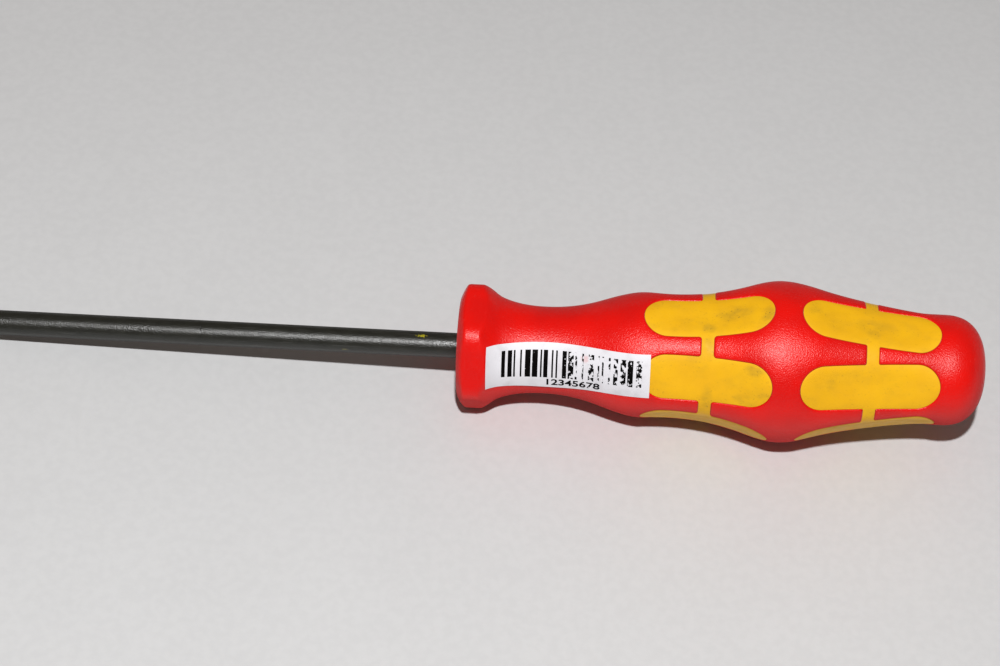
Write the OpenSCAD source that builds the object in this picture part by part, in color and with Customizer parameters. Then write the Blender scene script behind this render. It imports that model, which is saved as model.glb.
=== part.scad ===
// Insulated slotted screwdriver, 0.6 x 3.5 x 100, in millimetres.
// The tool's axis is X: the tip points to -X and the butt of the handle to +X.
// The origin is on the axis, at the centre of the handle's front face. One flat
// of the anti-roll flange faces -Z.

/* [Blade] */
// Diameter of the steel bar
bar_d = 3.5; // [3.2:0.1:3.6]
// Length of the shank in front of the handle
blade_len = 100; // [60:5:150]
// Length of bare steel at the tip
bare_len = 11; // [10:1:18]
// Thickness of the driving edge
tip_t = 0.6; // [0.4:0.1:1]
// Length of the flats ground towards the tip
flat_len = 9; // [6:0.5:9.5]
// Length of the parallel driving edge
edge_len = 1.2; // [0.5:0.1:2]
// Length of steel held inside the handle
tang_len = 68; // [60:1:80]
// Span of the wings pressed out of the tang
wing_w = 6; // [5:0.1:7]
// Thickness of each wing
wing_t = 1.6; // [1.2:0.1:2]
// Length of each wing
wing_len = 8; // [5:1:10]

/* [Insulation] */
// Outer diameter of the insulated shank
sleeve_d = 4.7; // [4.6:0.1:5]
// Diameter where the inner layer meets the outer layer
layer_d = 4; // [3.8:0.1:4.2]
// Length of the insulation inside the handle
tail_len = 20; // [16:1:24]
// Diameter of the insulation inside the handle, between its anchor rings
tail_d = 5.4; // [5.4:0.1:5.8]
// Diameter of the anchor rings
anchor_d = 6.6; // [6.2:0.1:7.2]

/* [Handle] */
// Length of the handle
handle_len = 98; // [96:1:105]
// Distance across the flats of the front flange
flange_af = 22; // [21.6:0.1:22.6]
// Rounding of the flange's six corners
flange_round = 3; // [2:0.1:4]
// Radius of the front face
face_r = 9.2; // [9:0.1:10]
// Radius of the neck
neck_r = 8.15; // [8:0.05:9]
// Radius of the finger ring behind the neck
bump_r = 11.8; // [11:0.1:12.5]
// Radius of the waist in front of the bulge
waist_r = 11.65; // [11:0.05:12]
// Radius of the bulge
bulge_r = 15.1; // [14:0.1:16]
// Radius of the rear of the handle
rear_r = 10.3; // [9.8:0.1:11]

/* [Grips] */
// Width of one soft pad
pad_w = 8.6; // [7:0.1:8.8]
// Depth of the soft pads
pad_depth = 1.3; // [1:0.1:1.4]
// Depth of the ring that links the pads
ring_depth = 0.9; // [0.6:0.1:1]
// Width of the ring that links the pads
ring_w = 2.3; // [1.5:0.1:3]

/* [Label] */
// Length of the label along the handle
label_len = 30.3; // [20:0.1:31]
// Width of the label across the neck
label_w = 8.8; // [7:0.1:9]
// Thickness of the label
label_t = 0.1; // [0.08:0.01:0.2]
// Turn of the label about the axis, up from -Y
label_turn = 28.5; // [0:0.5:60]

/* [Hidden] */
$fn = 64;
far_r = 20;                       // past every surface of the handle
spare = 4;                        // how far a cutting shape runs past its ends
n_sides = 6;                      // flange flats, pads in a row and core ribs
steps = 6;                        // straight steps in one stretch of the profile
butt_steps = 12;
butt_x = handle_len - 8;          // where the butt starts to round over
butt_power = 2.5;                 // fullness of the butt's rounding
rim_round = 0.3;                  // eased edge of the front face
flange_r = 12.4;                  // round blank that the flats are cut on
corner_steps = 2;                 // short flats on each side of a corner
flange_x = 1.5;                   // end of the flange's front bevel
flange_back = 6;                  // the flats have run out here
sleeve_x = bare_len - blade_len;  // front end of the insulation
sleeve_bevel = 0.25;
anchor_w = 1.8;
anchor_pitch = 4.5;
wing_xs = [34, 50];               // front ends of the two pairs of wings
wing_turns = [0, 90];
rib_w = 1.6;
rib_h = 1.1;
rib_root = 3.8;                   // where a rib starts, inside the core's wall
label_x = 5.65;                   // front end of the label

// Profile of the handle: place on the axis, radius and slope of the surface.
// The plain numbers between the named radii are where the curve changes bend.
stations = [
    [4.45, 12.1, -0.9], [8, 9.4, -0.38], [16, neck_r, 0], [26, 9.73, 0.33],
    [35, bump_r, 0], [40, waist_r, 0], [54, 13.95, 0.34], [59.8, bulge_r, 0],
    [67, 13.85, -0.3], [78, 11.45, -0.17], [butt_x, rear_r, 0]
];

// Each group of pads: front end, rear end and middle of the linking ring.
front_pads = [34.4, 58.2, 46.2];
rear_pads = [63.3, 89, 76.3];

// Outline of the inner core, in the same terms as [radius, place on the axis].
core_outline = [
    [0, 4], [4.4, 4], [5, 4.8], [5, 24], [8.6, 50], [8.6, 68], [6.2, 80], [6.2, 88],
    [5, 90], [0, 90]
];

// Cubic curve between two stations, at t from 0 to 1.
function ease(a, b, t) =
    let (h = b[0] - a[0])
    (2 * pow(t, 3) - 3 * pow(t, 2) + 1) * a[1]
    + (pow(t, 3) - 2 * pow(t, 2) + t) * h * a[2]
    + (3 * pow(t, 2) - 2 * pow(t, 3)) * b[1]
    + (pow(t, 3) - pow(t, 2)) * h * b[2];

// Points [radius, place on the axis] along the curve through the stations.
function grip_curve() = [
    for (i = [0 : len(stations) - 2])
        for (k = [0 : steps - 1])
            let (a = stations[i], b = stations[i + 1], t = k / steps)
            [ease(a, b, t), a[0] + t * (b[0] - a[0])]
];

// Points over the rounded butt, from its widest radius to the axis.
function butt_curve() = [
    for (k = [0 : butt_steps])
        let (turn = 90 * k / butt_steps)
        [rear_r * pow(cos(turn), 2 / butt_power),
         butt_x + (handle_len - butt_x) * pow(sin(turn), 2 / butt_power)]
];

// Lays a shape drawn up the Z axis along the tool's axis.
module along_x() {
    rotate([0, 90, 0]) children();
}

// Round bar or bore between two places on the axis.
module bar(x0, x1, d) {
    along_x() translate([0, 0, x0]) cylinder(h = x1 - x0, d = d);
}

// Hexagon with a flat towards +X and each corner eased by a few short flats.
module eased_hexagon(across, round_r) {
    reach = (across / 2 - round_r) / cos(30);
    polygon([
        for (i = [0 : n_sides - 1])
            for (k = [-corner_steps : corner_steps])
                let (at = 60 * i + 30, turn = at + 30 * k / corner_steps)
                reach * [cos(at), sin(at)] + round_r * [cos(turn), sin(turn)]
    ]);
}

// The flange's blank outside its six flats, which is cut away.
module flange_waste() {
    along_x() translate([0, 0, -1]) linear_extrude(height = flange_back + 1)
        difference() {
            circle(r = far_r);
            eased_hexagon(flange_af, flange_round);
        }
}

// Outside of the handle, solid.
module handle_form() {
    difference() {
        along_x() rotate_extrude()
            polygon(concat(
                [[0, 0], [face_r - rim_round, 0], [face_r, rim_round], [flange_r, flange_x],
                 [flange_r, 4.2]],
                grip_curve(), butt_curve()
            ));
        flange_waste();
    }
}

// The curve's points near one stretch of the handle, moved out by a height.
function skin_points(height, x0, x1) = [
    for (p = concat(grip_curve(), butt_curve()))
        if (p[1] > x0 - spare && p[1] < x1 + spare)
            [p[0] + height, p[1]]
];

// Space between a surface under the skin and well outside it, for one stretch.
module skin_space(depth, x0, x1) {
    along_x() intersection() {
        rotate_extrude()
            polygon(concat(
                skin_points(-depth, x0, x1),
                [[far_r, x1 + spare], [far_r, x0 - spare]]
            ));
        translate([0, 0, x0]) cylinder(h = x1 - x0, r = far_r);
    }
}

// Prism with round ends that stands on the axis and marks out one pad.
module pad_prism(x0, x1) {
    translate([0, 0, 2]) linear_extrude(height = far_r) {
        translate([x0 + pad_w / 2, -pad_w / 2]) square([x1 - x0 - pad_w, pad_w]);
        for (x = [x0 + pad_w / 2, x1 - pad_w / 2])
            translate([x, 0]) circle(d = pad_w);
    }
}

// Room in the handle for one group of pads and its ring.
module grip_space(pads) {
    for (i = [0 : n_sides - 1])
        intersection() {
            skin_space(pad_depth, pads[0] - 1, pads[1] + 1);
            rotate([60 * i, 0, 0]) pad_prism(pads[0], pads[1]);
        }
    skin_space(ring_depth, pads[2] - ring_w / 2, pads[2] + ring_w / 2);
}

module soft_grip(pads) {
    intersection() {
        handle_form();
        grip_space(pads);
    }
}

// Steel bar with its two pairs of wings, before the tip is ground.
module winged_bar() {
    bar(-blade_len, tang_len, bar_d);
    for (i = [0, 1])
        rotate([wing_turns[i], 0, 0])
            translate([wing_xs[i], -wing_w / 2, -wing_t / 2])
                cube([wing_len, wing_w, wing_t]);
}

// End of the insulation inside the handle, with rings that stop it pulling out.
module sleeve_tail(front) {
    bar(front, tail_len, tail_d);
    for (i = [0 : 2])
        bar(6 + anchor_pitch * i, 6 + anchor_pitch * i + anchor_w, anchor_d);
}

// Outside of the inner core, solid, with a rib between each two pads.
module core_form() {
    along_x() {
        rotate_extrude() polygon(core_outline);
        for (i = [0 : n_sides - 1])
            rotate([90, 0, 60 * i + 30]) translate([0, 0, -rib_w / 2])
                linear_extrude(height = rib_w)
                    polygon([
                        for (p = core_outline)
                            [p[0] > 0 ? p[0] + rib_h : rib_root, p[1]]
                    ]);
    }
}

// Steel ground away on one side of the tip.
module tip_waste() {
    slope = (bar_d - tip_t) / 2 / (flat_len - edge_len);
    rise = bar_d - tip_t / 2;
    edge_x = edge_len - blade_len;
    translate([0, bar_d, 0]) rotate([90, 0, 0]) linear_extrude(height = 2 * bar_d)
        polygon([
            [-blade_len - 1, tip_t / 2], [edge_x, tip_t / 2],
            [edge_x + rise / slope, bar_d], [-blade_len - 1, bar_d]
        ]);
}

module blade() {
    color("lightslategray") difference() {
        winged_bar();
        tip_waste();
        mirror([0, 0, 1]) tip_waste();
    }
}

module inner_insulation() {
    color("gold") difference() {
        bar(sleeve_x, tail_len, layer_d);
        bar(sleeve_x - 1, tail_len + 1, bar_d);
    }
}

module outer_insulation() {
    color("dimgray") difference() {
        union() {
            along_x() rotate_extrude()
                polygon([
                    [0, sleeve_x], [sleeve_d / 2 - sleeve_bevel, sleeve_x],
                    [sleeve_d / 2, sleeve_x + sleeve_bevel], [sleeve_d / 2, 0], [0, 0]
                ]);
            sleeve_tail(0);
        }
        bar(sleeve_x - 1, tail_len + 1, layer_d);
    }
}

module handle_core() {
    color("firebrick") difference() {
        core_form();
        winged_bar();
        bar(sleeve_x, tail_len, layer_d);
        sleeve_tail(0);
    }
}

module handle_body() {
    color("red") difference() {
        handle_form();
        grip_space(front_pads);
        grip_space(rear_pads);
        core_form();
        sleeve_tail(-1);
    }
}

module front_soft_grip() {
    color("gold") soft_grip(front_pads);
}

module rear_soft_grip() {
    color("gold") soft_grip(rear_pads);
}

module barcode_label() {
    inside = skin_points(0, label_x, label_x + label_len);
    outside = skin_points(label_t, label_x, label_x + label_len);
    color("white") intersection() {
        along_x() rotate_extrude()
            polygon(concat(inside, [for (i = [len(outside) - 1 : -1 : 0]) outside[i]]));
        rotate([-label_turn, 0, 0]) translate([label_x, -far_r, -label_w / 2])
            cube([label_len, far_r, label_w]);
    }
}

blade();
inner_insulation();
outer_insulation();
handle_core();
handle_body();
front_soft_grip();
rear_soft_grip();
barcode_label();
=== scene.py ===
import math
from random import Random

import bmesh
import bpy
from mathutils import Matrix, Vector
from mathutils.geometry import delaunay_2d_cdt


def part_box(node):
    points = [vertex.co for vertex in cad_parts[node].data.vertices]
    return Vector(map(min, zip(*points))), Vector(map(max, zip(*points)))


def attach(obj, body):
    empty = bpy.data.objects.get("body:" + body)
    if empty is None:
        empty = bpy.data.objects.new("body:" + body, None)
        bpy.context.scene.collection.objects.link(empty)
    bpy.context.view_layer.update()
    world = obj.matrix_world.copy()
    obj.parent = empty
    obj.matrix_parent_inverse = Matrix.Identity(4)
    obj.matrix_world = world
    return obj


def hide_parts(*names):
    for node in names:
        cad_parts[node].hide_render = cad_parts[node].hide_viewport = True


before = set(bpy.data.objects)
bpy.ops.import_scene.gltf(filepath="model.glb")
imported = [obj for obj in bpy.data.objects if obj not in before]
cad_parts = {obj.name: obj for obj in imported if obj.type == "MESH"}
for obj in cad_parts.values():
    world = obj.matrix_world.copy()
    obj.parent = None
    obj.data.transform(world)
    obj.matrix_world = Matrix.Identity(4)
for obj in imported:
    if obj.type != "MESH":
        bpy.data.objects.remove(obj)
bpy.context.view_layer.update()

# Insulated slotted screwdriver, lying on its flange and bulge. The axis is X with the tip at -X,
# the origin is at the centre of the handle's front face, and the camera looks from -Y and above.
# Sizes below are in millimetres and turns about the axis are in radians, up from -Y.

MM = 0.001


def ends(node):
    """Lowest and highest place of a CAD node along the tool's axis, in millimetres."""
    low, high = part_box(node)
    return round(low[0] / MM, 3), round(high[0] / MM, 3)


TIP_X, TANG_X = ends("blade")
SLEEVE_X, TAIL_X = ends("outer_insulation")
HANDLE_LEN = ends("handle_body")[1]
FRONT_PADS = ends("front_soft_grip")
REAR_PADS = ends("rear_soft_grip")
LABEL = ends("barcode_label")

# Profile of the handle: place on the axis, radius and slope, as in the CAD model.
BUTT_X = HANDLE_LEN - 8
BUTT_POWER = 2.5
REAR_R = 10.3
STATIONS = [
    (4.45, 12.1, -0.9), (8, 9.4, -0.38), (16, 8.15, 0), (26, 9.73, 0.33), (35, 11.8, 0),
    (40, 11.65, 0), (54, 13.95, 0.34), (59.8, 15.1, 0), (67, 13.85, -0.3), (78, 11.45, -0.17),
    (BUTT_X, REAR_R, 0),
]
FACE_R = 9.2          # front face, inside its bevel
FLANGE_R = 12.4       # flange before its flats are cut
FLANGE_APOTHEM = 11
FLANGE_ROUND = 3      # rounding of the hexagon's corners
FLANGE_MIDDLE = 2.8   # in front of this place the flats run out over the bevel
FLATS_END = 9         # behind this place the flats cut nothing
BORE_R = 2.7
BAR_R = 1.75
LAYER_R = 2.0         # outside of the inner layer of insulation
SLEEVE_R = 2.35

SIXTHS = 6
SIXTH = math.tau / SIXTHS
COLUMNS = 16                 # columns of faces in a sixth of a turn
PAD_TURN = math.radians(30)  # the turn of the middle of one pad, and of one of the flange's flats
MIDDLES = [PAD_TURN + k * SIXTH for k in range(SIXTHS)]
PAD_HALF = 4.3               # half the width of a pad
RING_HALF = 1.15             # half the width of the ring that links a row of pads
PAD_DEPTH = 1.2
RINGS = (46.2, 76.3)         # middles of the front and rear rings
RIDGE = 0.38                 # how far the surface rises between pads and falls over them
RIDGE_RUN_OUT = 1.5          # how far past the ends of the pads it does so
FILLETS = (0.55, 0.3)        # where the front and rear rings meet their pads


# ---------------------------------------------------------------- camera

CAMERA_HEIGHT = math.radians(49.83)
CAMERA_YAW = math.radians(3.04)
CAMERA_ROLL = math.radians(2.87)
CAMERA_AWAY = 0.489          # metres
CAMERA_LENS = 93.6
AIM_X = 7.6
AIM_UP = 2.75


def turned_pair(a, b, angle):
    """Two directions at a right angle, after both turn from the first towards the second."""
    return a * math.cos(angle) + b * math.sin(angle), b * math.cos(angle) - a * math.sin(angle)


def place_camera():
    """Camera above the near side, turned a little towards the butt, with a slight roll."""
    back = Vector((0, -math.cos(CAMERA_HEIGHT), math.sin(CAMERA_HEIGHT)))
    across = Vector((1, 0, 0))
    up = back.cross(across)
    back, across = turned_pair(back, across, CAMERA_YAW)
    across, up = turned_pair(across, up, CAMERA_ROLL)
    aim = Vector((AIM_X * MM, 0, 0)) + up * AIM_UP * MM
    camera = bpy.data.objects.new("camera", bpy.data.cameras.new("camera"))
    camera.data.lens = CAMERA_LENS
    camera.data.sensor_width = 36
    camera.data.clip_start = 0.01
    turn = Matrix((across, up, back)).transposed().to_4x4()
    camera.matrix_world = Matrix.Translation(aim + back * CAMERA_AWAY) @ turn
    bpy.context.scene.collection.objects.link(camera)
    bpy.context.scene.camera = camera
    return aim, up, back


aim, camera_up, camera_back = place_camera()


# ---------------------------------------------------------------- mesh tools

def spot(x, r, turn):
    """The point at x on the axis, r away from it and turned up from -Y."""
    return Vector((x, -r * math.cos(turn), r * math.sin(turn))) * MM


def spread(first, last, count):
    """count + 1 evenly spaced numbers from first to last."""
    return [first + (last - first) * i / count for i in range(count + 1)]


class Shell:
    """Collects points and faces, welds them where they meet, and makes one piece."""

    def __init__(self):
        self.points = []
        self.faces = []

    def add(self, points, faces):
        """Adds faces given by their places in a list of points."""
        start = len(self.points)
        self.points += points
        self.faces += [[start + i for i in face] for face in faces]

    def grid(self, rows, closed=True):
        """Quads between rows of points; closed joins the last column to the first."""
        width = len(rows[0])
        columns = range(width if closed else width - 1)
        points = [p for row in rows for p in row]
        faces = [
            [a * width + c, a * width + (c + 1) % width,
             (a + 1) * width + (c + 1) % width, (a + 1) * width + c]
            for a in range(len(rows) - 1) for c in columns
        ]
        self.add(points, faces)

    def piece(self, name, node, slot, *materials, sharp=35):
        """Welds the points, faces everything outwards and makes the object."""
        mesh = bpy.data.meshes.new(name)
        work = bmesh.new()
        verts = [work.verts.new(p) for p in self.points]
        for face in self.faces:
            work.faces.new([verts[i] for i in face])
        bmesh.ops.remove_doubles(work, verts=work.verts, dist=0.0005 * MM)
        bmesh.ops.recalc_face_normals(work, faces=work.faces)
        work.to_mesh(mesh)
        work.free()
        mesh.shade_smooth()
        mesh.set_sharp_from_angle(angle=math.radians(sharp))
        for material in materials:
            mesh.materials.append(material)
        piece = bpy.data.objects.new(name, mesh)
        bpy.context.scene.collection.objects.link(piece)
        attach(piece, "root")
        if node:
            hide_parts(node)
        return piece


def full_turn(columns, first=0):
    """Evenly spaced turns all round the axis."""
    return [first + math.tau * c / columns for c in range(columns)]


def lathe(shell, path, columns, radius=None):
    """Turns a path of (x, r) about the axis; radius may change r at each place and turn."""
    turns = full_turn(columns)
    shell.grid([
        [spot(x, radius(x, r, turn) if radius else r, turn) for turn in turns]
        for x, r in path
    ])


def eased(corners, steps=5):
    """A path through (x, r, ease) corners, each rounded by an arc of that radius."""
    path = [corners[0][:2]]
    for before, corner, after in zip(corners, corners[1:], corners[2:]):
        here = Vector(corner[:2])
        a, b = (Vector(p[:2]) - here for p in (before, after))
        half = a.angle(b) / 2
        reach = corner[2] / math.tan(half)
        middle = here + (a.normalized() + b.normalized()).normalized() * corner[2] / math.sin(half)
        start, end = (here + v.normalized() * reach - middle for v in (a, b))
        sweep = start.angle_signed(end)
        for t in spread(0, 1, steps):
            turned = Matrix.Rotation(-sweep * t, 2) @ start
            path.append(tuple(middle + turned))
    return path + [corners[-1][:2]]


# ---------------------------------------------------------------- shape of the handle

def handle_radius(x):
    """Radius of the handle's round surface behind its flange."""
    if x > BUTT_X:
        share = min((x - BUTT_X) / (HANDLE_LEN - BUTT_X), 1)
        return REAR_R * (1 - share ** BUTT_POWER) ** (1 / BUTT_POWER)
    for (x0, r0, slope0), (x1, r1, slope1) in zip(STATIONS, STATIONS[1:]):
        if x <= x1:
            break
    h = x1 - x0
    t = (x - x0) / h
    return (
        (2 * t**3 - 3 * t**2 + 1) * r0 + (t**3 - 2 * t**2 + t) * h * slope0
        + (3 * t**2 - 2 * t**3) * r1 + (t**3 - t**2) * h * slope1
    )


def skin_radius(x, turn):
    """Radius of the surface at a place: the red between the pads stands a little proud."""
    proud = 0
    for front, rear in (FRONT_PADS, REAR_PADS):
        off = min(abs(x - (front + rear) / 2) / ((rear - front) / 2 + RIDGE_RUN_OUT), 1)
        proud += RIDGE * (1 - off**4) ** 2
    return handle_radius(x) + proud * math.cos(SIXTHS * turn)


def flange_limit(turn):
    """Radius of the rounded hexagon, at a turn from the middle of one of its flats."""
    reach = (FLANGE_APOTHEM - FLANGE_ROUND) / math.cos(SIXTH / 2)
    if abs(turn) < math.atan2(reach / 2, FLANGE_APOTHEM):
        return FLANGE_APOTHEM / math.cos(turn)
    off = SIXTH / 2 - abs(turn)
    return reach * math.cos(off) + math.sqrt(FLANGE_ROUND**2 - (reach * math.sin(off)) ** 2)


def soft_least(a, b, blend=0.6):
    """The smaller of two numbers, with a rounded change from one to the other."""
    near = max(blend - abs(a - b), 0) / blend
    return min(a, b) - near * near * blend / 4


def hexed(x, r, turn):
    """Radius r once the flange's flats are cut, at a turn about the axis.

    The front bevel runs from the round face to the corners, and rounds over onto the flats.
    """
    if x > FLATS_END:
        return r
    limit = flange_limit((turn - PAD_TURN + SIXTH / 2) % SIXTH - SIXTH / 2)
    if x > FLANGE_MIDDLE:
        return soft_least(r, limit)
    cut = soft_least(FLANGE_R, limit)
    left = 1 - max(r - FACE_R, 0) / (FLANGE_R - FACE_R)
    return min(r, FACE_R) + (cut - FACE_R) * (1 - left ** (1 + FLANGE_R - cut))


def pad_edge(pads, ring, fillet, side, grow):
    """One edge of a row's yellow area in a sixth of a turn, as (x, turn from its middle).

    side is -1 for the edge towards the tip and 1 for the other. grow moves the edge out into
    the red. The edge runs from one side of the sixth to the other, along the ring, out round
    the pad's end and back.
    """
    half = PAD_HALF + grow
    end = pads[0] - grow if side < 0 else pads[1] + grow
    ring_x = ring + side * (RING_HALF + grow)
    bend = fillet - grow
    start_x = ring_x + side * bend
    round_x = end - side * half
    path = []
    for t in spread(0, 90, 5):
        a = math.radians(t)
        path.append((start_x - side * bend * math.cos(a), half + bend - bend * math.sin(a)))
    steps = round(abs(round_x - start_x) / 0.7)
    path += [(x, half) for x in spread(start_x, round_x, steps)[1:-1]]
    for t in spread(90, 0, 14):
        b = math.radians(t)
        path.append((round_x + side * half * math.cos(b), half * math.sin(b)))
    edge = [(x, math.asin(w / handle_radius(x))) for x, w in path]
    edge = [(ring_x, t) for t in spread(SIXTH / 2, edge[0][1], 3)[:-1]] + edge
    return edge + [(x, -t) for x, t in reversed(edge[:-1])]


def within(outline, x, y):
    """Whether a point is inside a closed outline."""
    odd = False
    for (x0, y0), (x1, y1) in zip(outline, outline[1:] + outline[:1]):
        if (y0 > y) != (y1 > y) and x < x0 + (y - y0) * (x1 - x0) / (y1 - y0):
            odd = not odd
    return odd


def edge_distance(pads, ring, x, turn):
    """Roughly how far a place is from the edge of a row's yellow area."""
    w = handle_radius(x) * math.sin(turn)
    run = (pads[1] - pads[0]) / 2 - PAD_HALF
    beyond = max(abs(x - (pads[0] + pads[1]) / 2) - run, 0)
    return abs(min(math.hypot(beyond, w) - PAD_HALF, abs(x - ring) - RING_HALF))


def rounding(distance, radius):
    """How far a rounded edge drops, at a distance in from the edge."""
    inward = max(radius - distance, 0)
    return radius - math.sqrt(radius**2 - inward**2)


GAP = 0.015                     # between the red and the yellow
ROLLS = (0, 0.1, 0.3, 0.6, 1)   # places across a rounded edge, as shares of its radius
RED_ROLL, PAD_ROLL = 0.3, 0.1
SUNK = 0.1                      # how far the pads lie under the red surface
PATTERN = (30, BUTT_X + 1)      # stretch of the handle that holds both rows of pads
PATTERN_STEPS = 84
EDGE_CLEAR = 0.6                # how far the even grid of places stays from the pads' edges
SIDE_CLEAR = 0.3                # the same, where the rings' edges meet the sides of a sixth
FLAT_R = 12                     # radius at which the pattern is laid out flat
ROWS = list(zip((FRONT_PADS, REAR_PADS), RINGS, FILLETS))


def pattern_edges():
    """The rounded edges of both rows in a sixth of a turn.

    Returns the places on them as (x, turn), the drop at each, the links between neighbours, the
    outline of each row's red and yellow borders, and where the edges meet the sixth's sides.
    """
    sizes = [GAP + roll * RED_ROLL for roll in ROLLS] + [-GAP - roll * PAD_ROLL for roll in ROLLS]
    drops = [rounding(roll * RED_ROLL, RED_ROLL) for roll in ROLLS]
    drops += [SUNK + rounding(roll * PAD_ROLL, PAD_ROLL) for roll in ROLLS]
    places, lowered, links, outlines, breaks = [], [], [], [], set()
    for pads, ring, fillet in ROWS:
        for grow, drop in zip(sizes, drops):
            front, rear = (pad_edge(pads, ring, fillet, side, grow) for side in (-1, 1))
            if abs(grow) == GAP:
                outlines.append(front + rear[::-1])
            for edge in (front, rear):
                links += [(len(places) + i, len(places) + i + 1) for i in range(len(edge) - 1)]
                places += edge
                lowered += [drop] * len(edge)
                breaks.add(edge[0][0])
    return places, lowered, links, outlines, breaks


def add_even_places(places, lowered, outlines, breaks):
    """Adds an even grid of places to those on the edges, keeping clear of them."""
    columns = spread(-SIXTH / 2, SIXTH / 2, COLUMNS)
    for x in spread(*PATTERN, PATTERN_STEPS):
        clear_sides = all(abs(x - b) > SIDE_CLEAR for b in breaks)
        for turn in columns:
            side = turn in (columns[0], columns[-1])
            off = min(edge_distance(pads, ring, x, turn) for pads, ring, _ in ROWS)
            if x in PATTERN or (clear_sides if side else off > EDGE_CLEAR):
                places.append((x, turn))
                just_in = turn * 0.999   # so that a place on a side counts as within a ring
                sunk = any(within(outline, x, just_in) for outline in outlines)
                lowered.append(SUNK if sunk else 0)


def sorted_out(places, triangles, outlines):
    """The triangles of the red, of the recess floors and of each yellow row."""
    groups = {"red": [], "floor": [], 0: [], 1: []}
    for triangle in triangles:
        x = sum(places[i][0] for i in triangle) / 3
        turn = sum(places[i][1] for i in triangle) / 3
        in_recess = any(within(outline, x, turn) for outline in outlines[::2])
        groups["floor" if in_recess else "red"].append(triangle)
        for row, outline in enumerate(outlines[1::2]):
            if within(outline, x, turn):
                groups[row].append(triangle)
    return groups


def one_sixth():
    """Triangles over a sixth of the patterned stretch, with every edge of the pads in them.

    Returns the places as (x, turn), the drop of the rounded edges at each, and the groups of
    triangles.
    """
    places, lowered, links, outlines, breaks = pattern_edges()
    add_even_places(places, lowered, outlines, breaks)
    flat = [Vector((x, turn * FLAT_R)) for x, turn in places]
    points, _, triangles, origins, _, _ = delaunay_2d_cdt(flat, links, [], 0, 1e-6)
    places = [places[i[0]] if i else (p.x, p.y / FLAT_R) for p, i in zip(points, origins)]
    lowered = [max((lowered[i] for i in origin), default=0) for origin in origins]
    return places, lowered, sorted_out(places, triangles, outlines)


def rim(triangles):
    """The edges that only one of the triangles has."""
    seen = set()
    for a, b, c in triangles:
        for edge in ((a, b), (b, c), (c, a)):
            if edge[::-1] in seen:
                seen.remove(edge[::-1])
            else:
                seen.add(edge)
    return seen


def skin_spot(place, depth, middle):
    """The point at a place in the sixth round a turn, at a depth under the surface."""
    x, turn = place
    return spot(x, skin_radius(x, middle + turn) - depth, middle + turn)


def add_sixths(shell, places, depths, triangles):
    """Adds the triangles all round the handle, at a depth under its surface."""
    used = sorted({i for triangle in triangles for i in triangle})
    index = {old: new for new, old in enumerate(used)}
    faces = [[index[i] for i in triangle] for triangle in triangles]
    for middle in MIDDLES:
        shell.add([skin_spot(places[i], depths[i], middle) for i in used], faces)


def add_walls(shell, places, tops, bottom, edges):
    """Adds walls down from the edges of an area, all round the handle."""
    def at_side(i):
        return abs(abs(places[i][1]) - SIXTH / 2) < 1e-5

    inner = [
        (a, b) for a, b in edges
        if not (at_side(a) and at_side(b))
        and not (places[a][0] in PATTERN and places[b][0] in PATTERN)
    ]
    for middle in MIDDLES:
        for a, b in inner:
            wall = [(a, tops[a]), (b, tops[b]), (b, bottom), (a, bottom)]
            shell.add([skin_spot(places[i], depth, middle) for i, depth in wall], [[0, 1, 2, 3]])


# ---------------------------------------------------------------- materials

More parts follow.
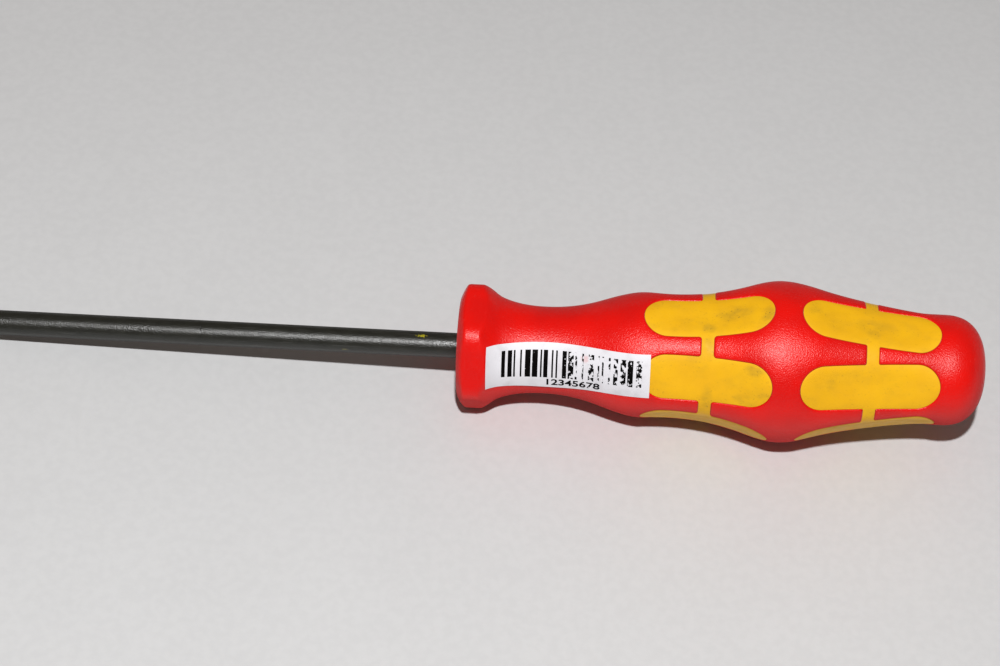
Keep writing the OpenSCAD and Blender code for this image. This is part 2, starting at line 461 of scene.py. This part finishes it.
class Paint:
    """A procedural material: its nodes are added one by one and end in one Principled shader."""

    def __init__(self, name, **constants):
        self.material = bpy.data.materials.new(name)
        self.material.use_nodes = True
        self.tree = self.material.node_tree
        self.shader = self.tree.nodes["Principled BSDF"]
        for socket, value in constants.items():
            self.shader.inputs[socket.replace("_", " ")].default_value = value
        self.place = self.add("TexCoord").outputs["Object"]

    def add(self, kind, inputs=(), **settings):
        """Adds a node, sets it up, and links or sets its inputs."""
        node = self.tree.nodes.new("ShaderNode" + kind)
        for key, value in settings.items():
            setattr(node, key, value)
        for key, value in dict(inputs).items():
            if isinstance(value, bpy.types.NodeSocket):
                self.tree.links.new(value, node.inputs[key])
            else:
                node.inputs[key].default_value = value
        return node

    def noise(self, size, detail=2, stretch=(1, 1, 1), shift=0):
        """Noise with features of a size in millimetres, stretched along the axes."""
        place = self.add("Mapping", {
            "Vector": self.place, "Location": (shift,) * 3,
            "Scale": [1 / (size * MM * s) for s in stretch],
        })
        return self.add("TexNoise", {
            "Vector": place.outputs[0], "Scale": 1, "Detail": detail,
        }).outputs["Fac"]

    def ramp(self, value, low, high, to_low=0, to_high=1):
        """A value taken from one range to another, with soft ends."""
        return self.add("MapRange", {
            "Value": value, "From Min": low, "From Max": high,
            "To Min": to_low, "To Max": to_high,
        }, interpolation_type="SMOOTHSTEP").outputs[0]

    def sum(self, a, b, operation="ADD"):
        """Two values put together."""
        return self.add("Math", {0: a, 1: b}, operation=operation).outputs[0]

    def mix(self, share, a, b):
        """One colour changing to another."""
        return self.add("MixRGB", {"Fac": share, "Color1": a, "Color2": b}).outputs[0]

    def along(self):
        """Place along the tool's axis."""
        return self.add("SeparateXYZ", {0: self.place}).outputs["X"]

    def varied(self, size, a, b, detail=2, stretch=(1, 1, 1), low=0.35):
        """A colour that changes between two, in patches of a size in millimetres."""
        patches = self.ramp(self.noise(size, detail, stretch), low, 1 - low)
        return self.mix(patches, (*a, 1), (*b, 1))

    def shallow(self, low, high, most):
        """A value that rises to its most where the surface is seen at a shallow angle."""
        facing = self.add("LayerWeight", {"Blend": 0.5}).outputs["Facing"]
        return self.ramp(facing, low, high, 0, most)

    def near(self, x, turn, r, size):
        """Distance from a spot on the tool's surface, divided by a size in x, y and z."""
        scale = [1 / (s * MM) for s in size]
        shift = [-c * s for c, s in zip(spot(x, r, turn), scale)]
        off = self.add("Mapping", {"Vector": self.place, "Location": shift, "Scale": scale})
        return self.add("VectorMath", {0: off.outputs[0]}, operation="LENGTH").outputs["Value"]

    def finish(self, colour, roughness=None, heights=()):
        """Links the colour, roughness and bumps, given as (height, depth in millimetres)."""
        bump = None
        for height, depth in heights:
            inputs = {"Height": height, "Distance": depth * MM, "Strength": 1}
            if bump:
                inputs["Normal"] = bump
            bump = self.add("Bump", inputs).outputs[0]
        self.tree.links.new(colour, self.shader.inputs["Base Color"])
        if roughness:
            self.tree.links.new(roughness, self.shader.inputs["Roughness"])
        if bump:
            self.tree.links.new(bump, self.shader.inputs["Normal"])
        return self.material


def red_plastic():
    """Hard red plastic with a spark-eroded grain, a little dust and faint scuffs."""
    paint = Paint(
        "red_plastic", Specular_IOR_Level=0.42, Sheen_Weight=0.1, Sheen_Roughness=0.3
    )
    paint.shader.distribution = "GGX"
    tone = paint.varied(9, (0.70, 0.004, 0.001), (0.62, 0.004, 0.002))
    dust = paint.ramp(paint.noise(0.7, 4, shift=5), 0.68, 0.76, 0, 0.3)
    dusty = paint.mix(dust, tone, (0.75, 0.10, 0.08, 1))
    rough = paint.ramp(paint.noise(0.5, 2, shift=2), 0.3, 0.7, 0.29, 0.37)
    rough = paint.sum(rough, paint.shallow(0.3, 0.8, 0.52))
    grain = paint.noise(0.25, 3)
    scuff = paint.noise(1.1, 5, (1, 4, 4), 7)
    return paint.finish(dusty, rough, [(grain, 0.085), (scuff, 0.006)])


# Handling marks on the pads: place, turn in degrees, size in x, y and z, and strength.
SMUDGES = [
    (51, 92, (4.5, 2.2, 2.2), 0.55), (57, 86, (1.6, 2.4, 2.4), 0.6), (46.4, 78, (1.6, 1.5, 1.5), 0.6),
    (54.7, 42, (2.6, 1.4, 1.4), 0.6), (53.5, 18, (3.4, 1.4, 1.4), 0.5), (46.4, 12, (1.3, 3, 3), 0.5),
    (50, -31, (9, 3, 3), 0.25), (77, 90, (5, 2.5, 2.5), 0.35), (65.5, 96, (2, 2, 2), 0.3),
    (69, 34, (1.5, 1.5, 1.5), 0.4), (75, -30, (10, 3, 3), 0.15), (46.4, 60, (1.4, 3, 3), 0.4),
    (76.5, 82, (1.8, 1.5, 1.5), 0.5), (57, 22, (3, 1.6, 1.6), 0.4), (44, 82, (2, 2, 2), 0.2),
    (55, 28, (4, 4, 4), 0.22), (70, 88, (4, 3, 3), 0.2), (50, 86, (8, 4, 4), 0.14),
]


def soft_yellow():
    """Smooth soft yellow plastic with brown handling marks and grime."""
    paint = Paint(
        "soft_yellow", Specular_IOR_Level=0.28, Sheen_Weight=0.2, Sheen_Roughness=0.3
    )
    tone = paint.varied(7, (0.79, 0.445, 0.006), (0.74, 0.405, 0.007), low=0.3)
    dirt = paint.ramp(paint.noise(3.4, 4, (1.6, 1, 1), 3), 0.42, 0.7, 0.04, 0.24)
    for x, turn, size, strength in SMUDGES:
        turn = math.radians(turn)
        reach = paint.near(x, turn, skin_radius(x, turn), size)
        dirt = paint.sum(dirt, paint.ramp(reach, 0.3, 1.3, strength, 0), "MAXIMUM")
    patchy = paint.ramp(paint.noise(1.6, 3, (1.5, 1, 1), 9), 0.25, 0.7, 0.2, 1)
    smear = paint.mix(paint.sum(dirt, patchy, "MULTIPLY"), tone, (0.40, 0.25, 0.02, 1))
    speck = paint.ramp(paint.noise(0.42, 3, shift=11), 0.60, 0.72)
    speckled = paint.sum(paint.sum(dirt, 0.06), speck, "MULTIPLY")
    marked = paint.mix(speckled, smear, (0.22, 0.14, 0.02, 1))
    rough = paint.ramp(paint.noise(1.2, 3), 0.3, 0.7, 0.5, 0.64)
    return paint.finish(marked, rough, [(paint.noise(0.3, 2), 0.008), (paint.noise(3), 0.02)])


def sleeve_grey():
    """Dark grey insulation, finely grained, with a crease painted dark as shade and two nicks down to
    the yellow.
    """
    paint = Paint("sleeve_grey", Specular_IOR_Level=0.75)
    paint.shader.distribution = "GGX"
    tone = paint.varied(1.2, (0.010, 0.0105, 0.007), (0.015, 0.0155, 0.011), 3, (2, 1, 1))
    scratch = paint.ramp(paint.noise(0.5, 2, (14, 1, 1), 4), 0.62, 0.7, 0, 0.3)
    surface_colour = paint.mix(scratch, tone, (0.06, 0.06, 0.055, 1))
    # The crease is a wandering groove, broken in places. It dents the surface as a bump, and its line
    # is painted near black as shade in the groove.
    wander = paint.sum(paint.sum(paint.noise(1.5, 2), 0.4 * MM, "MULTIPLY"), paint.along())
    off = paint.sum(paint.sum(wander, CREASE_X * MM, "SUBTRACT"), 0, "ABSOLUTE")
    broken = paint.ramp(paint.noise(2), 0.4, 0.6)
    shaded_crease = paint.sum(paint.ramp(off, 0.08 * MM, 0.2 * MM, 1, 0), broken, "MULTIPLY")
    surface_colour = paint.mix(shaded_crease, surface_colour, (0.004, 0.004, 0.004, 1))
    ragged = paint.sum(paint.sum(paint.noise(0.4, 4), 3.2, "MULTIPLY"), 1.1, "SUBTRACT")
    for x, turn, size, colour in NICKS:
        reach = paint.sum(paint.near(x, turn, SLEEVE_R, size), ragged)
        surface_colour = paint.mix(paint.ramp(reach, 0.8, 1.5, 1, 0), surface_colour, colour)
    rough = paint.ramp(paint.noise(0.3, 2), 0.3, 0.7, 0.29, 0.35)
    rough = paint.sum(rough, paint.shallow(0.45, 0.9, 0.4))
    return paint.finish(surface_colour, rough, [(shaded_crease, -0.06), (paint.noise(0.26, 3), 0.08)])


def inner_yellow():
    """Yellow inner layer of the insulation."""
    paint = Paint("inner_yellow", Specular_IOR_Level=0.4)
    tone = paint.varied(1, (0.80, 0.55, 0.02), (0.70, 0.46, 0.02))
    rough = paint.ramp(paint.noise(0.5), 0.3, 0.7, 0.45, 0.6)
    return paint.finish(tone, rough, [(paint.noise(0.2), 0.01)])


def ground_steel():
    """Bare bar steel: drawn along its length, ground across the flats, darker towards the edge."""
    paint = Paint("ground_steel", Metallic=0.95)
    grey = paint.varied(0.8, (0.36, 0.36, 0.37), (0.5, 0.5, 0.51), 4, (8, 1, 1), 0.3)
    tip = paint.ramp(paint.along(), (TIP_X + 3) * MM, (TIP_X + 6) * MM, 1, 0)
    dark = paint.mix(paint.sum(tip, 0.75, "MULTIPLY"), grey, (0.10, 0.10, 0.105, 1))
    rough = paint.ramp(paint.noise(0.3, 3, (6, 1, 1)), 0.3, 0.7, 0.26, 0.42)
    ground = paint.noise(0.12, 2, (1, 12, 12))
    drawn = paint.noise(0.5, 2, (12, 1, 1))
    return paint.finish(dark, rough, [(ground, 0.004), (drawn, 0.003)])


def core_red():
    """Plain moulded plastic of the hidden inner core."""
    paint = Paint("core_red")
    tone = paint.varied(4, (0.45, 0.03, 0.02), (0.36, 0.02, 0.02))
    rough = paint.ramp(paint.noise(1), 0.3, 0.7, 0.45, 0.6)
    return paint.finish(tone, rough, [(paint.noise(0.4), 0.02)])


def label_paper():
    """Coated white paper with a little grey handling dirt and a faint red smear."""
    paint = Paint("label_paper", Specular_IOR_Level=0.4)
    dirt = paint.ramp(paint.noise(2.5, 4), 0.45, 0.75)
    tone = paint.mix(dirt, (0.69, 0.685, 0.72, 1), (0.61, 0.60, 0.63, 1))
    off = paint.sum(paint.near(*SMEAR, (1, 1, 1)), paint.noise(0.35, 3))
    smear = paint.ramp(off, 0.9, 1.5, 0.3, 0)
    smeared = paint.mix(smear, tone, (0.62, 0.12, 0.10, 1))
    rough = paint.ramp(paint.noise(0.6, 2), 0.3, 0.7, 0.42, 0.55)
    return paint.finish(smeared, rough, [(paint.noise(0.25, 3), 0.004), (paint.noise(3, 2), 0.03)])


def label_ink(name, wear):
    """Black print, rubbed away to the paper on the label's rear half by an amount of wear."""
    paint = Paint(name, Specular_IOR_Level=0.05)
    behind = paint.ramp(paint.along(), WORN_FROM * MM, WORN_FULLY * MM, 0, wear)
    kept = paint.ramp(paint.near(*KEPT_BAR, (0.9, 20, 20)), 0.5, 1.1, wear * 0.6, 0)
    patches = paint.noise(0.62, 3, (1, 1.3, 1.3), 1)
    level = paint.sum(paint.sum(patches, behind), kept, "SUBTRACT")
    rubbed = paint.ramp(level, 0.70, 0.75)
    ink = paint.varied(0.2, (0.001, 0.001, 0.001), (0.004, 0.003, 0.003), low=0.3)
    surface_colour = paint.mix(rubbed, ink, (0.68, 0.675, 0.71, 1))
    return paint.finish(surface_colour, paint.ramp(level, 0.3, 0.9, 0.5, 0.65))


# ---------------------------------------------------------------- handle

FACE_EASE = 0.4     # roundings of the front face's edge and of the flange's two edges
BEVEL_EASE = 0.9
REAR_EASE = 0.5
BEVEL_END = 1.5
FLANGE_END = 4.2
NECK_START = 5.4
CAVITY_SKIN = 1.4   # the cavity lies at least this far under the surface


def filled(path, gap=0.7):
    """A path with points added so that none are further apart than the gap."""
    out = [path[0]]
    for (x0, r0), (x1, r1) in zip(path, path[1:]):
        steps = math.ceil(math.hypot(x1 - x0, r1 - r0) / gap)
        out += [
            (x0 + (x1 - x0) * i / steps, r0 + (r1 - r0) * i / steps)
            for i in range(1, steps + 1)
        ]
    return out


def flange_path():
    """Front face, bevel and flange, then the neck up to the first pads."""
    flange = eased([
        (0, BORE_R), (0, FACE_R, FACE_EASE), (BEVEL_END, FLANGE_R, BEVEL_EASE),
        (FLANGE_END, FLANGE_R, REAR_EASE), (NECK_START, handle_radius(NECK_START)),
    ])
    neck = [(x, handle_radius(x)) for x in spread(NECK_START, PATTERN[0], 36)]
    return filled(flange) + neck[1:]


def butt_path():
    """The rounded butt, from the end of the patterned stretch to the axis."""
    share = (PATTERN[1] - BUTT_X) / (HANDLE_LEN - BUTT_X)
    start = math.asin(share ** (BUTT_POWER / 2))
    return [
        (BUTT_X + (HANDLE_LEN - BUTT_X) * math.sin(t) ** (2 / BUTT_POWER),
         REAR_R * max(math.cos(t), 0) ** (2 / BUTT_POWER))
        for t in spread(start, math.pi / 2, 22)
    ]


def add_cavity(shell):
    """Adds the CAD model's own cavity, and returns the points round its mouth."""
    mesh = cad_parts["handle_body"].data
    points = [v.co / MM for v in mesh.vertices]
    radii = [math.hypot(p.y, p.z) for p in points]
    inside = [
        r < handle_radius(max(p.x, 8)) - CAVITY_SKIN and p.x < BUTT_X + 0.5
        for p, r in zip(points, radii)
    ]
    faces = [
        list(f.vertices) for f in mesh.polygons
        if all(inside[i] for i in f.vertices) and max(points[i].x for i in f.vertices) > 0.01
    ]
    shell.add([p * MM for p in points], faces)
    mouth = {
        round(math.atan2(p.z, -p.y), 3): p * MM
        for p, r in zip(points, radii) if abs(p.x) < 0.01 and r < BORE_R + 0.05
    }
    return [mouth[turn] for turn in sorted(mouth)]


def make_handle():
    """The red body: flange, neck, pierced skin, recess floors, butt and cavity."""
    places, lowered, groups = SKIN
    body = Shell()
    mouth = add_cavity(body)
    turns = full_turn(SIXTHS * COLUMNS, PAD_TURN - SIXTH / 2)
    face = flange_path()
    first = next(i for i, (x, r) in enumerate(face) if r > BORE_R + 0.5)
    body.grid([[spot(x, hexed(x, r, t), t) for t in turns] for x, r in face[first:]])
    body.grid([[spot(x, r, t) for t in turns] for x, r in butt_path()])
    add_sixths(body, places, lowered, groups["red"])
    add_sixths(body, places, [PAD_DEPTH] * len(places), groups["floor"])
    add_walls(body, places, lowered, PAD_DEPTH, rim(groups["red"]))
    stitch(body, mouth, [spot(*face[first], t) for t in turns])
    return body.piece("handle_skin", "handle_body", "handle_plastic", red_plastic())


def stitch(shell, ring_a, ring_b):
    """Triangles between two rings of points round the axis, whatever their counts."""
    def sweep(ring):
        order = sorted(ring, key=lambda p: math.atan2(p.z, -p.y))
        turns = [math.atan2(p.z, -p.y) for p in order]
        return order + order[:1], turns + [turns[0] + math.tau]

    (a, turns_a), (b, turns_b) = sweep(ring_a), sweep(ring_b)
    i = j = 0
    faces = []
    while i < len(a) - 1 or j < len(b) - 1:
        if j == len(b) - 1 or (i < len(a) - 1 and turns_a[i + 1] < turns_b[j + 1]):
            faces.append([i, i + 1, len(a) + j])
            i += 1
        else:
            faces.append([i, len(a) + j + 1, len(a) + j])
            j += 1
    shell.add(a + b, faces)


def make_pads(row, name, node, material):
    """One row of soft pads with its ring, as one closed piece with rounded edges."""
    places, lowered, groups = SKIN
    shell = Shell()
    triangles = groups[row]
    add_sixths(shell, places, lowered, triangles)
    add_sixths(shell, places, [PAD_DEPTH - GAP] * len(places), triangles)
    add_walls(shell, places, lowered, PAD_DEPTH - GAP, rim(triangles))
    return shell.piece(name, node, "grip_rubber", material)


# ---------------------------------------------------------------- shank

CREASE_X = -48.7

# Nicks in the insulation: place, turn, size in x, y and z, and colour of the layer in them.
NICKS = [
    (-7.1, math.radians(91), (1.1, 0.5, 0.5), (0.36, 0.32, 0.012, 1)),
    (-21.4, math.radians(0), (0.8, 0.22, 0.22), (0.12, 0.11, 0.03, 1)),
]
NICK_DEPTH = 0.14
ANCHORS = 3
ANCHOR_X = 6
ANCHOR_STEP = 4.5
ANCHOR_LEN = 1.8
ANCHOR_R = 3.3


def sleeve_radius(x, r, turn):
    """Radius of the insulation, dented at its nicks."""
    if r < SLEEVE_R or x > -0.5:
        return r
    dent = 0
    for nick_x, nick_turn, size, _ in NICKS:
        off = (turn - nick_turn + math.pi) % math.tau - math.pi
        far = math.hypot((x - nick_x) / size[0], off * r / (size[1] * 1.6))
        dent = max(dent, NICK_DEPTH * max(1 - far, 0))
    return r - dent


def make_sleeve():
    """The outer layer of insulation, with its eased front edge and its anchor rings."""
    shell = Shell()
    anchors = []
    for i in range(ANCHORS):
        start = ANCHOR_X + ANCHOR_STEP * i
        end = start + ANCHOR_LEN
        anchors += [(start, BORE_R), (start, ANCHOR_R), (end, ANCHOR_R), (end, BORE_R)]
    outside = eased([(SLEEVE_X, LAYER_R), (SLEEVE_X, SLEEVE_R, 0.25), (0, SLEEVE_R)])
    path = filled(outside, 0.4) + [(0, BORE_R - 0.02)]
    path += anchors + [(TAIL_X, BORE_R), (TAIL_X, LAYER_R)]
    lathe(shell, path + [(SLEEVE_X, LAYER_R)], 80, sleeve_radius)
    return shell.piece("sleeve", "outer_insulation", "shank_sleeve", sleeve_grey())


def make_inner_layer():
    """The yellow inner layer, which shows as a thin ring at the sleeve's front end."""
    shell = Shell()
    inset = SLEEVE_X + 0.05
    corners = [(TAIL_X, LAYER_R), (inset, LAYER_R, 0.05), (inset, BAR_R, 0.05), (TAIL_X, BAR_R)]
    path = eased(corners, 2)
    lathe(shell, path + [path[0]], 64)
    return shell.piece("inner_layer", "inner_insulation", "inner_layer", inner_yellow())


FLAT_LEN = 9                          # from the driving edge to the end of the ground flats
EDGE_LEN = 1.2                        # parallel stretch behind the driving edge
TIP_HALF = 0.3                        # half the driving edge's thickness
FLAT_BEND = 1.08                      # above 1, the flats are slightly hollow
WINGS = ((34, 0), (50, math.pi / 2))  # start and turn of each pair of wings
WING_LEN = 8
WING_REACH = 3
WING_HALF = 0.8
END_EASE = 0.93                       # size of the bar's two end faces, next to the bar's own
BLADE_COLUMNS = 144


def flat_half(x):
    """Half thickness of the blade between its ground flats."""
    run = min(max((x - TIP_X - EDGE_LEN) / (FLAT_LEN - EDGE_LEN), 0), 1)
    return TIP_HALF + (BAR_R - TIP_HALF) * run ** FLAT_BEND


def blade_spot(x, turn):
    """Point of the blade's outline at x: round bar, wings or ground flats."""
    r = BAR_R
    for start, at in WINGS:
        if start <= x <= start + WING_LEN:
            c, s = abs(math.cos(turn - at)), abs(math.sin(turn - at))
            r = max(r, min(WING_REACH / max(c, 1e-6), WING_HALF / max(s, 1e-6)))
    point = spot(x, r, turn)
    if x < TIP_X + FLAT_LEN:
        height = soft_least(abs(point.z) / MM, flat_half(x), 0.2)
        point.z = math.copysign(height * MM, point.z)
    return point


def make_blade():
    """The steel bar: driving edge, ground flats, round bar and the two pairs of wings."""
    xs = [TIP_X, TIP_X + 0.04] + spread(TIP_X + 0.1, TIP_X + FLAT_LEN + 1, 60)
    xs += spread(TIP_X + FLAT_LEN + 2, WINGS[0][0] - 1, 40)
    for start, _ in WINGS:
        xs += [start - 0.001, start, start + WING_LEN, start + WING_LEN + 0.001]
    xs += [TANG_X - 0.4, TANG_X]
    rows = [[blade_spot(x, turn) for turn in full_turn(BLADE_COLUMNS)] for x in xs]
    for point in rows[0] + rows[-1]:
        point.y *= END_EASE
        point.z *= END_EASE
    shell = Shell()
    shell.grid(rows)
    for x, row in ((TIP_X, rows[0]), (TANG_X, rows[-1])):
        shell.grid([row, [Vector((x * MM, 0, 0))] * BLADE_COLUMNS])
    return shell.piece("steel_blade", "blade", "blade_steel", ground_steel(), sharp=28)


# ---------------------------------------------------------------- label

LABEL_TURN = math.radians(28.5)
LABEL_SKEW = math.radians(0.08)  # how far the label turns about the axis in each millimetre
SKEW_X = 22                      # where the label's turn is the one above
LABEL_HALF = 4.3                 # half the label's width
HOLLOW_X = 17                    # middle and reach of the hollow of the neck
HOLLOW_REACH = 7
PAPER = 0.09                     # height of the paper's face over the handle
PRINT = 0.012                    # height of the print over the paper
CURL = 0.2                       # how far the paper's sides lift over the hollow of the neck
BARS_FROM = 2.8                  # margins of the row of bars, from the label's ends
BARS_TO = 2
BARS_ACROSS = (-2.1, 3.0)        # the bars' ends, from the label's middle line
BAR_UNIT = 0.3
BAR_WIDTHS = (1, 1.2, 2.2, 2.6, 3.4)
BAR_GAPS = (1, 1.6, 2, 2.4, 3)
DIGITS_FROM = 11.2
DIGITS_ACROSS = -3.75
DIGITS_LEN = 9.9
DIGITS_TALL = 1.35
WORN_FROM = 19                   # the print wears off between these two places on the axis
WORN_FULLY = 22.5
KEPT_BAR = (32.4, LABEL_TURN, 11.2)      # place, turn and radius of the print least worn there
SMEAR = (23.8, math.radians(42), 9.4)    # and of a red smear on the paper


def label_spot(x, across, height):
    """A point over the label's place, across in millimetres from the label's middle line.

    Over the hollow of the neck the paper is stretched flatter, so its sides lift a little.
    """
    hollow = math.exp(-((x - HOLLOW_X) / HOLLOW_REACH) ** 2)
    share = across / LABEL_HALF
    turn = LABEL_TURN + LABEL_SKEW * (x - SKEW_X)
    turn += across * (1 + 0.06 * hollow) / handle_radius(x)
    return spot(x, skin_radius(x, turn) + height + CURL * hollow * abs(share) ** 3, turn)


def add_slab(shell, xs, sides, low, high):
    """A thin closed slab on the label's surface, between two ends and two sides."""
    top = [[label_spot(x, a, high) for a in sides] for x in xs]
    bottom = [[label_spot(x, a, low) for a in sides] for x in xs]
    shell.grid([t + b[::-1] for t, b in zip(top, bottom)])
    for t, b in ((top[0], bottom[0]), (top[-1], bottom[-1])):
        shell.grid([t, b], closed=False)


def make_label():
    """The white paper label on the neck."""
    shell = Shell()
    add_slab(shell, spread(*LABEL, 60), spread(-LABEL_HALF, LABEL_HALF, 20), 0.005, PAPER)
    return shell.piece("label", "barcode_label", "label_paper", label_paper())


def make_bars():
    """A generic row of upright bars of several widths."""
    draw = Random(7)
    shell = Shell()
    x = LABEL[0] + BARS_FROM
    while x < LABEL[1] - BARS_TO:
        width = BAR_UNIT * draw.choice(BAR_WIDTHS)
        sides = spread(*BARS_ACROSS, 12)
        add_slab(shell, spread(x, x + width, 2), sides, PAPER - 0.01, PAPER + PRINT)
        x += width + BAR_UNIT * draw.choice(BAR_GAPS)
    return shell.piece("label_bars", None, "label_paper", label_ink("bar_ink", 0.22))


def digit_mesh():
    """Points and faces of a flat row of generic digits."""
    words = bpy.data.curves.new("digits", "FONT")
    words.body = "12345678"
    words.extrude = 0.01
    words.offset = 0.02
    words.resolution_u = 4
    holder = bpy.data.objects.new("digits", words)
    bpy.context.scene.collection.objects.link(holder)
    bpy.context.view_layer.update()
    flat = holder.evaluated_get(bpy.context.evaluated_depsgraph_get()).to_mesh()
    points = [v.co.copy() for v in flat.vertices]
    faces = [list(f.vertices) for f in flat.polygons]
    holder.to_mesh_clear()
    bpy.data.objects.remove(holder)
    return points, faces


def make_digits():
    """A row of generic digits under the bars."""
    points, faces = digit_mesh()
    low, high = ([pick(p[i] for p in points) for i in (0, 1)] for pick in (min, max))
    wide = DIGITS_LEN / (high[0] - low[0])
    tall = DIGITS_TALL / (high[1] - low[1])
    shell = Shell()
    shell.add(
        [
            label_spot(
                LABEL[0] + DIGITS_FROM + (p.x - low[0]) * wide,
                DIGITS_ACROSS + (p.y - low[1]) * tall,
                PAPER + PRINT + p.z,
            )
            for p in points
        ],
        faces,
    )
    return shell.piece("label_digits", None, "label_paper", label_ink("digit_ink", 0.03))


# ---------------------------------------------------------------- floor and light

FOOT_X = 0.95       # where the flange's flat touches the floor
FLOOR_HALF = 1.5    # metres
KEY_TILT = math.radians(14)
KEY_AWAY = 0.72     # metres
KEY_ASIDE = 0.012   # metres
KEY_SIZE = 0.022    # metres
KEY_POWER = 5.95    # watts


def make_floor():
    """A pale floor on the plane that the flange and the bulge rest on."""
    bulge = spread(40, 80, 160)
    lean = max((handle_radius(x) - FLANGE_APOTHEM) / (x - FOOT_X) for x in bulge)
    up = Vector((lean, 0, 1)).normalized()
    middle = Vector((FOOT_X * MM, 0, -FLANGE_APOTHEM * MM)) - up * 0.02 * MM
    along = Vector((1, 0, -lean)).normalized() * FLOOR_HALF
    across = up.cross(along)
    mesh = bpy.data.meshes.new("floor")
    signs = ((-1, -1), (1, -1), (1, 1), (-1, 1))
    corners = [middle + along * a + across * b for a, b in signs]
    mesh.from_pydata(corners, [], [(0, 1, 2, 3)])
    floor = bpy.data.objects.new("floor", mesh)
    bpy.context.scene.collection.objects.link(floor)
    paint = Paint("pale_floor")
    tone = paint.varied(1.6, (0.555, 0.560, 0.565), (0.575, 0.580, 0.585), 4, low=0.3)
    mesh.materials.append(paint.finish(tone, paint.ramp(paint.noise(20), 0.3, 0.7, 0.5, 0.6)))


def key_light():
    """A square soft light above the camera, facing the handle."""
    place = camera_back * math.cos(KEY_TILT) + camera_up * math.sin(KEY_TILT)
    place = aim + place * KEY_AWAY + Vector((KEY_ASIDE, 0, 0))
    data = bpy.data.lights.new("key", "AREA")
    data.size = KEY_SIZE
    data.energy = KEY_POWER
    light = bpy.data.objects.new("key", data)
    light.location = place
    light.rotation_mode = "QUATERNION"
    light.rotation_quaternion = (aim - place).to_track_quat("-Z", "Y")
    bpy.context.scene.collection.objects.link(light)


def surround():
    """An even, faint and warm surround, and the picture's tones."""
    world = bpy.data.worlds.new("surround")
    world.use_nodes = True
    background = world.node_tree.nodes["Background"]
    background.inputs["Color"].default_value = (1, 0.87, 0.79, 1)
    background.inputs["Strength"].default_value = 0.175
    scene = bpy.context.scene
    scene.world = world
    scene.view_settings.view_transform = "Standard"
    scene.view_settings.gamma = 0.92


# ---------------------------------------------------------------- the tool

SKIN = one_sixth()
make_handle()
yellow = soft_yellow()
make_pads(0, "front_pads", "front_soft_grip", yellow)
make_pads(1, "rear_pads", "rear_soft_grip", yellow)
make_sleeve()
make_inner_layer()
make_blade()
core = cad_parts["handle_core"]
core.data.materials.clear()
core.data.materials.append(core_red())
make_label()
make_bars()
make_digits()
make_floor()
key_light()
surround()
